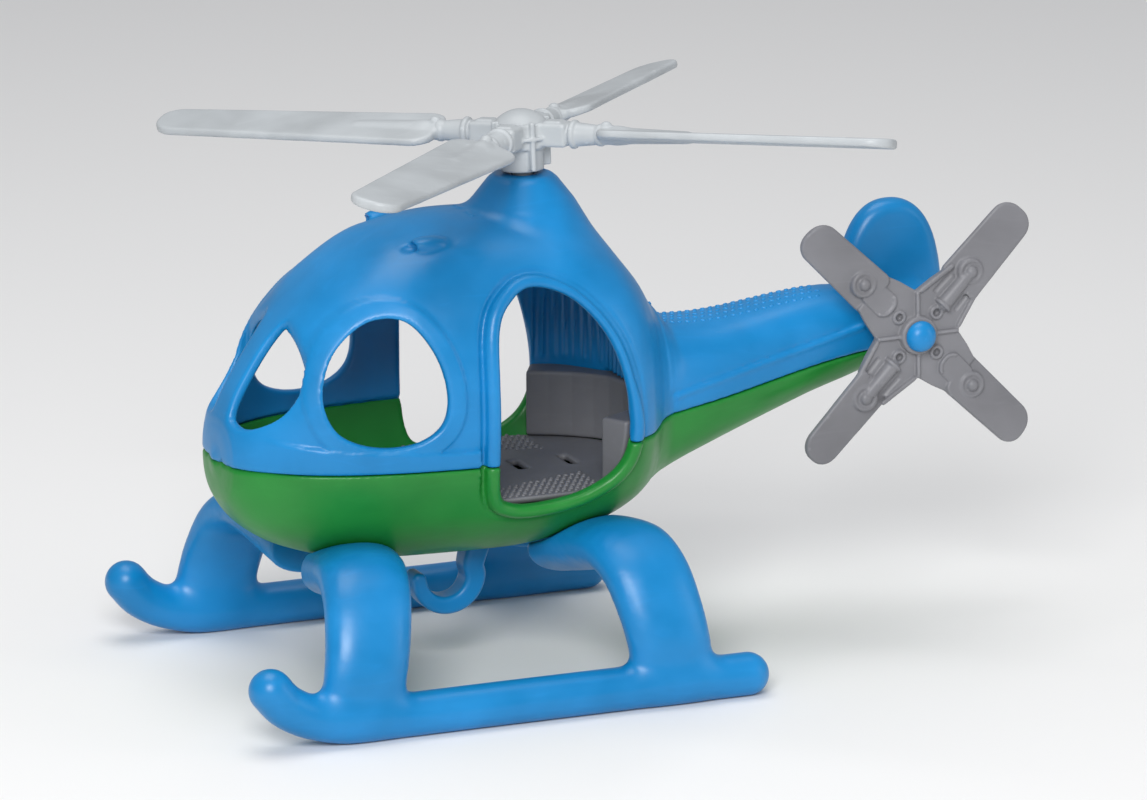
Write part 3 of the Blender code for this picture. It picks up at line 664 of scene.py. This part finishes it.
def boom_tread():
    """Rows of raised dashes along the top of the tail boom."""
    places = []
    for row, y in enumerate((-6, -3, 0, 3, 6)):
        for step in range(23):
            x = 16 + 2.5 * step + 1.25 * (row % 2)
            h = 0.4
            z = float(hull_roof(x, y))
            slope_x = (float(hull_roof(x + h, y)) - float(hull_roof(x - h, y))) / (2 * h)
            slope_y = (float(hull_roof(x, y + h)) - float(hull_roof(x, y - h))) / (2 * h)
            slant = 0.6 * (-1) ** (row + step)
            places.append((np.array([x, y, z]), (-slope_x, -slope_y, 1), (1, slant, 0)))
    return raised_dashes("boom_tread", places, 1.9, 1.0, 0.7)


# ---------------------------------------------------------------- cabin

def inside_half(x, z):
    """Half width of the hull's inside at a station and a height below the belt."""
    depth = (BELT(x) - z) / (BELT(x) - BOTTOM(x) - WALL)
    return (HALF(x) - WALL) * (1 - depth ** ROUNDNESS) ** (1 / ROUNDNESS)


def floor_piece():
    grid = Grid((-106, -42, 55.5), (18, 42, 61.5), 0.7)
    x, y, z = grid.x, grid.y, grid.z
    inside = hull_field(grid, WALL + CABIN_PLAY)
    slab = extruded(inside, z - (FLOOR_TOP - FLOOR_HALF), FLOOR_HALF, 0.3)
    slab = soft_max(slab, x - REAR_WALL_X, 0.3)
    slab = soft_max(slab, FLOOR_FRONT - x, 0.3)
    for front, back in FLOOR_SLOTS:
        slot = box_field(x, y, z, (front, SLOT_SIDES[0], 50), (back, SLOT_SIDES[1], 70), 0.8)
        slab = soft_max(slab, -slot, 0.8)
    return moulded("cabin_floor_moulded", slab, grid)


def floor_tread():
    """Raised anti-slip dashes on the floor inside both doors."""
    places = []
    for sign in (-1, 1):
        for row in range(11):
            y = sign * (15 + 1.8 * row)
            for step in range(20):
                x = -48 + 2.1 * step + 1.05 * (row % 2)
                inner_edge = 22 - 0.29 * (x + 36)
                if abs(y) > inside_half(x, FLOOR_TOP) - 1.5 or abs(y) < inner_edge or x > -10:
                    continue
                places.append((np.array([x, y, FLOOR_TOP]), (0, 0, 1), (1, 0.5 * (-1) ** row, 0)))
    return raised_dashes("cabin_floor_tread", places, 1.5, 0.75, 0.5)


def bulkhead_piece():
    """Thick C-shaped wall round the back of the cabin."""
    end_x, beyond = -1.5, 44
    outline = BULKHEAD_FACE + [(end_x, beyond), (REAR_WALL_X, beyond),
                               (REAR_WALL_X, -beyond), (end_x, -beyond)]
    grid = Grid((-12, -42, 58), (18, 42, 82), 0.5)
    flat = outline_distance(np.array(outline, float), grid.x, grid.y)
    middle = (FLOOR_TOP + SEAM_GAP + BULKHEAD_TOP) / 2
    field = extruded(flat, grid.z - middle, (BULKHEAD_TOP - FLOOR_TOP - SEAM_GAP) / 2, 0.9)
    field = soft_max(field, hull_field(grid, WALL + CABIN_PLAY), 0.8)
    return moulded("cabin_bulkhead_moulded", field, grid, rounds=3)


# ---------------------------------------------------------------- landing gear

def leg_field(grid, sign, root_x, foot_x):
    """One leg, an oval bar swept along its route and narrowing towards the foot."""
    route = spline(LEG_ROUTE, 14, closed=False)
    share = np.linspace(0, 1, len(route))
    y, z = np.broadcast_arrays(grid.y[0] * sign, grid.z[0])
    gap = np.hypot(y[..., None] - route[:, 0], z[..., None] - route[:, 1])
    nearest = gap.argmin(-1)
    across = gap.min(-1)[None]
    s = share[nearest][None]
    half_width = LEG_HALF_WIDTH[0] + (LEG_HALF_WIDTH[1] - LEG_HALF_WIDTH[0]) * s
    half_depth = LEG_HALF_DEPTH[0] + (LEG_HALF_DEPTH[1] - LEG_HALF_DEPTH[0]) * s
    along = grid.x - (root_x + (foot_x - root_x) * s)
    u, v = along / half_width, across / half_depth
    near = (np.abs(u) ** OVAL + np.abs(v) ** OVAL) ** (1 / OVAL)
    return true_distance(near - 1, grid.step)


def landing_gear():
    """One smooth moulding a side: two arched legs flowing into their skid."""
    pieces = []
    for side, sign in (("port", -1), ("starboard", 1)):
        low_y, high_y = (-72, -10) if sign < 0 else (10, 72)
        grid = Grid((-136, low_y, -1.5), (34, high_y, 56), 0.75)
        path = spline(SKID_PATH, 24, closed=False)
        spacing = np.concatenate([[0], np.cumsum(np.linalg.norm(np.diff(path, axis=0), axis=1))])
        even = np.arange(0, spacing[-1], 0.8)
        path = np.stack([np.interp(even, spacing, path[:, k]) for k in range(2)], 1)
        flat = np.hypot(grid.x[..., None] - path[:, 0], grid.z[..., None] - path[:, 1]).min(-1)
        skid = np.hypot(flat, grid.y - sign * SKID_Y) - SKID_RADIUS
        field = skid
        for root_x, foot_x in LEGS:
            field = soft_min(field, leg_field(grid, sign, root_x, foot_x), 4.5)
        field = soft_max(field, LEG_INNER_END - sign * grid.y, 1.0)
        field = soft_max(field, BELLY_GAP - hull_field(grid), 0.6)
        field = soft_max(field, -grid.z, 0.5)
        pieces.append(moulded(f"landing_gear_{side}", field, grid, rounds=3))
    return pieces


def hook_piece():
    route = [(HOOK_X + HOOK_RADIUS + 4, 46), (HOOK_X + HOOK_RADIUS + 1.5, 38)]
    for step in range(10):
        angle = math.radians(20 - 22 * step)
        route.append((HOOK_X + HOOK_RADIUS * math.cos(angle),
                      HOOK_Z + HOOK_RADIUS * math.sin(angle)))
    route = spline(route, 12, closed=False)
    grid = Grid((-64, -7, 14), (-28, 7, 50), 0.45)
    gap = np.hypot(grid.x[..., None] - route[:, 0], grid.z[..., None] - route[:, 1])
    share = gap.argmin(-1) / len(route)
    flat = gap.min(-1) - (3.6 - 1.4 * share)
    field = extruded(flat, grid.y, 4.2, 1.4)
    field = soft_max(field, 0.4 - hull_field(grid), 0.5)
    return moulded("cargo_hook_moulded", field, grid)


# ---------------------------------------------------------------- main rotor

def rotor_matrix():
    axis = Vector((-math.tan(ROTOR_LEAN_FORWARD), math.tan(ROTOR_LEAN_STARBOARD), 1)).normalized()
    turn = Vector((0, 0, 1)).rotation_difference(axis).to_matrix().to_4x4()
    place = Matrix.Translation((PYLON_X * MM, 0, PYLON_TOP * MM))
    return place @ turn @ Matrix.Rotation(ROTOR_AZIMUTH, 4, "Z")


def rotor_hub():
    """Hub, four arms with their rings and grips; arm 0 runs along X here."""
    grid = Grid((-28, -28, -0.5), (28, 28, 20), 0.4)
    x, y, z = grid.x, grid.y, grid.z
    r = np.hypot(x, y)
    field = rod(z, r, 0.9, 15.6, 6.5, 6.5, 0.5)
    field = soft_min(field, rod(z, r, 7.6, 15.6, 8.0, 8.0, 0.8), 0.6)
    field = soft_min(field, rod(z, r, 10.6, 11.6, 9.6, 9.6, 0.4), 0.5)
    for c, s in QUARTERS:
        out, side = x * c + y * s, -x * s + y * c
        arm = box_field(out, side, z, (3, -3.8, ARM_Z - 3.6), (15.4, 3.8, ARM_Z + 3.5), 1.1)
        field = soft_min(field, arm, 0.8)
        pad = box_field(out, side, z, (8.2, -2.4, ARM_Z + 2.5), (13.6, 2.4, ARM_Z + 4.1), 0.7)
        field = soft_min(field, pad, 0.5)
        across = np.hypot(side, z - ARM_Z)
        field = soft_min(field, rod(out, across, 15, 16.2, 3.4), 0.4)
        field = soft_min(field, rod(out, across, 16.2, 18.0, 4.35, 4.35, 0.7), 0.4)
        field = soft_min(field, rod(out, across, 17.5, 25.0, 3.7, 2.9, 0.5), 0.4)
        field = soft_min(field, rod(out, across, 24.4, 26.6, 3.35, 3.35, 0.7), 0.4)
        diagonal, beside_it = (out + side) / math.sqrt(2), (side - out) / math.sqrt(2)
        fin = box_field(diagonal, beside_it, z, (4, -0.75, 1.6), (9.3, 0.75, 16.2), 0.5)
        field = soft_min(field, fin, 0.5)
    field = soft_max(field, -rod(z, r, -2, 10.2, 3.9), 0.3)
    return moulded("main_rotor_hub_moulded", field, grid, rotor_matrix())


def blade_outline(root, tip, root_width, tip_width, tip_radius, shoulder):
    """Half outline of a paddle as (distance along, half width), from root to tip."""
    along, half = [], []
    for angle in np.radians(np.linspace(0, 90, 9)):
        along.append(root + shoulder * (1 - math.cos(angle)))
        half.append(root_width / 2 - shoulder * (1 - math.sin(angle)))
    for angle in np.radians(np.linspace(0, 90, 9)):
        along.append(tip - tip_radius * (1 - math.sin(angle)))
        half.append(tip_width / 2 - tip_radius * (1 - math.cos(angle)))
    top = np.stack([along, half], 1)
    return np.vstack([top, (top * [1, -1])[::-1]])


def rotor_blade():
    """One blade in its arm's frame: X out along the arm, Z up, origin on the rotor's axis."""
    grid = Grid((22, -13, ARM_Z - 6.5), (119, 13, ARM_Z + 6.5), 0.55)
    out, side, up = grid.x, grid.y, grid.z - ARM_Z
    c, s = math.cos(BLADE_PITCH), math.sin(BLADE_PITCH)
    chord, thick = side * c + up * s, -side * s + up * c
    outline = blade_outline(BLADE_ROOT, BLADE_TIP, *BLADE_CHORD, 6.5, 6.0)
    flat = outline_distance(outline, out, chord)
    crown = 0.35 * (1 - np.clip(np.abs(chord) / 9, 0, 1) ** 2)
    slab = extruded(flat, thick, 1.15 + crown, 0.85)
    socket = rod(out, np.hypot(side, up), 25, 33, 3.2, 1.9, 0.8)
    stud = ellipsoid(out, side, up, (27.2, 0, 2.9), (1.7, 1.7, 1.3))
    spine = capsule(out, chord, thick, (31, 0, 0), (52, 0, 0), 2.3, 1.1)
    field = soft_min(slab, socket, 2.0)
    field = soft_min(field, spine, 2.4)
    return grid, soft_min(field, stud, 0.6)


def main_rotor():
    hub = rotor_hub()
    grid, field = rotor_blade()
    blades = []
    for index in range(4):
        place = rotor_matrix() @ Matrix.Rotation(index * math.pi / 2, 4, "Z")
        blades.append(moulded(f"main_rotor_blade_{index + 1}_moulded", field, grid, place))
    base = rotor_matrix() @ Matrix.Rotation(-ROTOR_AZIMUTH, 4, "Z")
    cap = turned("main_rotor_cap_moulded", CAP_PROFILE, base)
    return hub, blades, cap


# ---------------------------------------------------------------- tail rotor

def tail_matrix():
    place = Matrix.Translation([v * MM for v in TAIL_PLACE])
    return place @ Matrix.Rotation(math.radians(90), 4, "X") @ Matrix.Rotation(TAIL_AZIMUTH, 4, "Z")


def tail_rotor():
    """Hub, webs and four blades as one moulding; Z runs out to port and arm 0 along X."""
    grid = Grid((-51, -51, -5), (51, 51, 6), 0.4)
    x, y, z = grid.x, grid.y, grid.z
    r = np.hypot(x, y)
    field = np.full(grid.counts, FAR, np.float32)
    star = []
    edge = [(9.5, -9.5), (15.5, -8.2), (20.5, -6.6), (20.5, 6.6), (15.5, 8.2)]
    for c, s in QUARTERS:
        star += [(a * c - b * s, a * s + b * c) for a, b in edge]
    web = extruded(outline_distance(np.array(star), x, y), z + 0.1, 1.0, 0.5)
    field = np.minimum(field, web)
    for quarter, (c, s) in enumerate(QUARTERS):
        out, side = x * c + y * s, -x * s + y * c
        cp, sp = math.cos(TAIL_PITCH), math.sin(TAIL_PITCH)
        chord, thick = side * cp + z * sp, -side * sp + z * cp
        outline = blade_outline(18.5, TAIL_TIP, TAIL_BLADE_WIDTH, TAIL_BLADE_WIDTH - 1.4, 5.6, 2.5)
        slab = extruded(outline_distance(outline, out, chord), thick, 1.05, 0.75)
        field = soft_min(field, slab, 0.8)
        boss = rod(z, np.hypot(out - TAIL_BOSS_OUT, side), -0.6, 2.3, 4.5, 4.0, 0.7)
        dish = rod(z, np.hypot(out - TAIL_BOSS_OUT, side), 1.9, 4.0, 2.9, 3.2, 0.3)
        button = ellipsoid(out, side, z, (TAIL_BOSS_OUT, 0, 1.9), (1.9, 1.9, 1.7))
        field = soft_min(field, boss, 0.5)
        field = soft_min(soft_max(field, -dish, 0.3), button, 0.3)
        between, beside_it = (out + side) / math.sqrt(2), (side - out) / math.sqrt(2)
        rib = box_field(between, beside_it, z, (5.5, -0.6, -1), (13.4, 0.6, 2.2), 0.4)
        field = soft_min(field, rib, 0.4)
        if quarter % 2:
            strap = outline_distance(blade_outline(11.8, 22, 8.2, 7.6, 0.5, 3.6), out, side)
            field = soft_min(field, extruded(strap, z - 0.6, 0.95, 0.4), 0.3)
            lip = np.abs(strap + 0.5) - 0.55
            lip = np.maximum(extruded(lip, z - 1.1, 1.0, 0.35), out - 14.6)
            field = soft_min(field, lip, 0.3)
            eye = (8.6, 0)
        else:
            spine = capsule(out, side, z, (12.4, 0, 1.3), (22.5, 0, 1.3), 2.3, 2.0)
            field = soft_min(field, spine, 0.4)
            ring = rod(out, np.hypot(side, z - 1.0), 11.2, 12.4, 3.1, 3.1, 0.4)
            field = soft_min(field, ring, 0.3)
            for hand in (-1, 1):
                lip = capsule(out, side, z, (10.5, hand * 8.6, 1.2), (22.2, hand * 5.9, 1.2), 0.75)
                field = soft_min(field, lip, 0.5)
                low = capsule(out, side, z, (13.5, hand * 4.7, 1.0), (20, hand * 4.3, 1.0), 0.7)
                field = soft_max(field, -low, 0.4)
            eye = (8.8, 0)
        collar = rod(z, np.hypot(out - eye[0], side - eye[1]), -0.6, 1.9, 2.5, 2.2, 0.4)
        hole = rod(z, np.hypot(out - eye[0], side - eye[1]), 0.2, 4.0, 1.15)
        field = soft_max(soft_min(field, collar, 0.5), -hole, 0.3)
    hub = rod(z, r, -3.8, 3.2, 6.4, 5.8, 0.8)
    field = soft_min(field, hub, 0.6)
    field = soft_max(field, -rod(z, r, -6, 6, 2.5), 0.2)
    return moulded("tail_rotor_moulded", field, grid, tail_matrix())


def tail_pin():
    return turned("tail_rotor_pin_moulded", PIN_PROFILE, tail_matrix())


# ---------------------------------------------------------------- materials

def plastic(name, colour, roughness, depth=0.05, waxy=0.06):
    """Moulded plastic: colour drift, flow lines, fine grain, uneven gloss, paler edges that are
    partly wear, partly painted highlight.
    """
    material = bpy.data.materials.new(name)
    material.use_nodes = True
    tree = material.node_tree
    nodes, links = tree.nodes, tree.links
    shader = nodes["Principled BSDF"]
    where = nodes.new("ShaderNodeTexCoord").outputs["Object"]

    def noise(scale, detail=2.0, rough=0.5, distortion=0.0, vector=None):
        node = nodes.new("ShaderNodeTexNoise")
        node.inputs["Scale"].default_value = scale
        node.inputs["Detail"].default_value = detail
        node.inputs["Roughness"].default_value = rough
        node.inputs["Distortion"].default_value = distortion
        links.new(vector or where, node.inputs["Vector"])
        return node.outputs["Fac"]

    def ranged(value, low, high, a, b):
        node = nodes.new("ShaderNodeMapRange")
        node.inputs["From Min"].default_value = low
        node.inputs["From Max"].default_value = high
        node.inputs["To Min"].default_value = a
        node.inputs["To Max"].default_value = b
        links.new(value, node.inputs["Value"])
        return node.outputs["Result"]

    def mixed(share, first, second):
        node = nodes.new("ShaderNodeMix")
        node.data_type = "RGBA"
        for socket, value in ((node.inputs["A"], first), (node.inputs["B"], second)):
            colours = [s for s in node.inputs if s.name == socket.name and s.type == "RGBA"][0]
            if isinstance(value, tuple):
                colours.default_value = (*value, 1)
            else:
                links.new(value, colours)
        links.new(share, node.inputs["Factor"])
        return [s for s in node.outputs if s.type == "RGBA"][0]

    stretch = nodes.new("ShaderNodeMapping")
    stretch.inputs["Scale"].default_value = (0.25, 1.0, 1.6)
    links.new(where, stretch.inputs["Vector"])
    drift = noise(38, 3)
    flow = noise(160, 2, 0.6, 1.2, stretch.outputs["Vector"])
    grain = noise(2600, 2, 0.6)
    gloss = noise(75, 4, 0.6)
    dents = noise(120, 2)

    darker = tuple(c * 0.86 for c in colour)
    lighter = tuple(min(c * 1.1 + 0.006, 1) for c in colour)
    base = mixed(ranged(drift, 0.3, 0.7, 0, 1), darker, lighter)
    streak = tuple(min(c * 1.25 + 0.01, 1) for c in colour)
    base = mixed(ranged(flow, 0.55, 0.8, 0, 0.22), base, streak)
    # Convex edges, found by pointiness, are lightened: partly wear, partly a painted highlight
    # along the edges.
    edge = ranged(nodes.new("ShaderNodeNewGeometry").outputs["Pointiness"], 0.53, 0.62, 0, 0.35)
    base = mixed(edge, base, tuple(min(c * 1.35 + 0.03, 1) for c in colour))
    links.new(base, shader.inputs["Base Color"])
    uneven = ranged(gloss, 0.3, 0.7, roughness - 0.05, roughness + 0.08)
    links.new(uneven, shader.inputs["Roughness"])
    shader.inputs["Subsurface Weight"].default_value = waxy
    shader.inputs["Subsurface Radius"].default_value = (1.0, 1.0, 1.0)
    shader.inputs["Subsurface Scale"].default_value = 0.0012
    shader.inputs["IOR"].default_value = 1.45

    fine = nodes.new("ShaderNodeBump")
    fine.inputs["Strength"].default_value = 0.12
    fine.inputs["Distance"].default_value = 0.00006
    links.new(grain, fine.inputs["Height"])
    slow = nodes.new("ShaderNodeBump")
    slow.inputs["Strength"].default_value = 0.35
    slow.inputs["Distance"].default_value = depth * MM * 4
    links.new(dents, slow.inputs["Height"])
    links.new(fine.outputs["Normal"], slow.inputs["Normal"])
    links.new(slow.outputs["Normal"], shader.inputs["Normal"])
    return material


# ---------------------------------------------------------------- putting it together

def put(obj, body, material, slot, *nodes):
    """Gives a piece its material and body, and hides the frame nodes, given by name, that it stands
    in for; the slot is not used.
    """
    obj.data.materials.clear()
    obj.data.materials.append(material)
    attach(obj, body)
    if nodes:
        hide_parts(*nodes)


def build():
    blue = plastic("blue_moulded", *BLUE)
    green = plastic("green_moulded", *GREEN)
    light = plastic("light_grey_moulded", *LIGHT_GREY)
    mid = plastic("mid_grey_moulded", *MID_GREY)
    insert = plastic("floor_grey_moulded", *FLOOR_GREY)

    upper, lower = shells()
    put(upper, "airframe", blue, "blue_plastic", "upper_shell")
    put(lower, "airframe", green, "green_plastic", "lower_shell")
    put(boom_tread(), "airframe", blue, "blue_plastic")
    put(floor_piece(), "airframe", insert, "floor_grey_plastic", "cabin_floor")
    put(floor_tread(), "airframe", insert, "floor_grey_plastic")
    put(bulkhead_piece(), "airframe", insert, "floor_grey_plastic", "cabin_bulkhead")
    for piece, side in zip(landing_gear(), ("port", "starboard")):
        put(piece, "airframe", blue, "blue_plastic",
            f"skid_{side}", f"front_leg_{side}", f"rear_leg_{side}")
    put(hook_piece(), "airframe", blue, "blue_plastic", "cargo_hook")
    put(tail_pin(), "airframe", blue, "blue_plastic", "tail_rotor_pin")
    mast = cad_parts["rotor_mast"]
    mast.data.materials.clear()
    mast.data.materials.append(light)

    hub, blades, cap = main_rotor()
    put(hub, "main_rotor", light, "light_grey_plastic", "main_rotor_hub")
    put(cap, "main_rotor", light, "light_grey_plastic", "main_rotor_cap")
    for index, blade in enumerate(blades):
        put(blade, "main_rotor", light, "light_grey_plastic", f"main_rotor_blade_{index + 1}")
    put(tail_rotor(), "tail_rotor", mid, "mid_grey_plastic", "tail_rotor_hub",
        *[f"tail_rotor_blade_{k}" for k in (1, 2, 3, 4)])


def add_light(name, place, size, power):
    """An area light turned towards the middle of the toy."""
    data = bpy.data.lights.new(name, "AREA")
    data.shape = "RECTANGLE"
    data.size, data.size_y = size
    data.energy = power
    obj = bpy.data.objects.new(name, data)
    bpy.context.scene.collection.objects.link(obj)
    obj.location = place
    aim = Vector(LIT_POINT) - Vector(place)
    obj.rotation_euler = aim.to_track_quat("-Z", "Y").to_euler()


def studio():
    """Pale floor, soft lights and the camera."""
    floor_material = bpy.data.materials.new("studio_floor")
    floor_material.use_nodes = True
    shader = floor_material.node_tree.nodes["Principled BSDF"]
    shader.inputs["Base Color"].default_value = STUDIO_FLOOR_COLOUR
    shader.inputs["Roughness"].default_value = 0.7
    h = STUDIO_FLOOR_HALF
    corners = np.array([(-h, -h, 0), (h, -h, 0), (h, h, 0), (-h, h, 0)])
    floor = mesh_object("studio_floor", corners, [[0, 1, 2, 3]])
    floor.data.materials.append(floor_material)

    world = bpy.data.worlds.new("studio")
    world.use_nodes = True
    background = world.node_tree.nodes["Background"]
    background.inputs["Color"].default_value = SKY_COLOUR
    background.inputs["Strength"].default_value = SKY_STRENGTH
    bpy.context.scene.world = world

    for light in LIGHTS:
        add_light(*light)

    data = bpy.data.cameras.new("camera")
    data.sensor_width = CAMERA_SENSOR
    data.lens = CAMERA_LENS
    data.clip_start, data.clip_end = 0.05, 60
    camera = bpy.data.objects.new("camera", data)
    bpy.context.scene.collection.objects.link(camera)
    camera.matrix_world = Matrix(CAMERA_POSE)
    bpy.context.scene.camera = camera
    bpy.context.scene.view_settings.view_transform = "Standard"


build()
studio()
bpy.context.view_layer.update()
